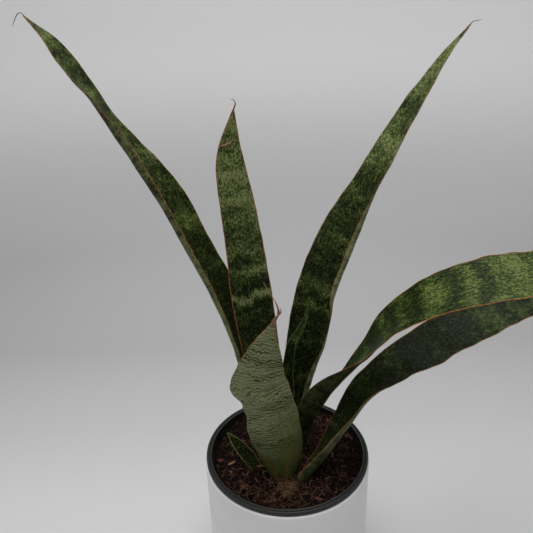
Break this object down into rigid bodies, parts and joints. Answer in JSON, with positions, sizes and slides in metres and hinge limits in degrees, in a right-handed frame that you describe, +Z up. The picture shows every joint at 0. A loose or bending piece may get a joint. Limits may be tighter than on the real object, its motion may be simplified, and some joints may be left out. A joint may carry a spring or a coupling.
{
  "type": "potted snake plant",
  "caption": "Potted snake plant: upright and arching banded leaves and a pup in a dark nursery pot, set in a plain white cylindrical cachepot.",
  "frame": {"origin": "centre of the cachepot's flat base, on the pot's axis, at the level of the surface it stands on", "axes": "+Z up along the pot's axis; -Y towards the front of the plant, where the short leaf shows its lower face; +X towards the two arching leaves"},
  "size_m": [0.4885, 0.15, 0.5091],
  "materials": {
    "cachepot_white": "plain white satin glaze, smooth",
    "nursery_plastic": "green-black moulded plastic, satin, lightly scuffed",
    "potting_soil": "dark damp potting mix with coir fibre and fine bark",
    "rhizome_skin": "pale orange-tan, papery, ringed",
    "leaf_blade": "dark green mottled with lighter cross-bands, semi-gloss, thin tan margin",
    "leaf_blade_pale": "grey-green lower face with fine dark wavy cross-lines, satin",
    "wood_chip": "split dry bark, matt"
  },
  "bodies": {
    "root": {"cachepot": "cachepot_white", "nursery_pot": "nursery_plastic", "soil": "potting_soil", "rhizome": "rhizome_skin", "leaf_tall_left": "leaf_blade", "leaf_tall_centre": "leaf_blade", "leaf_front_short": "leaf_blade_pale", "leaf_tall_right": "leaf_blade", "leaf_young_rolled": "leaf_blade", "leaf_arching_upper": "leaf_blade", "leaf_arching_lower": "leaf_blade", "pup_leaf": "leaf_blade", "wood_chip_left": "wood_chip", "wood_chip_front": "wood_chip"}
  },
  "joints": []
}
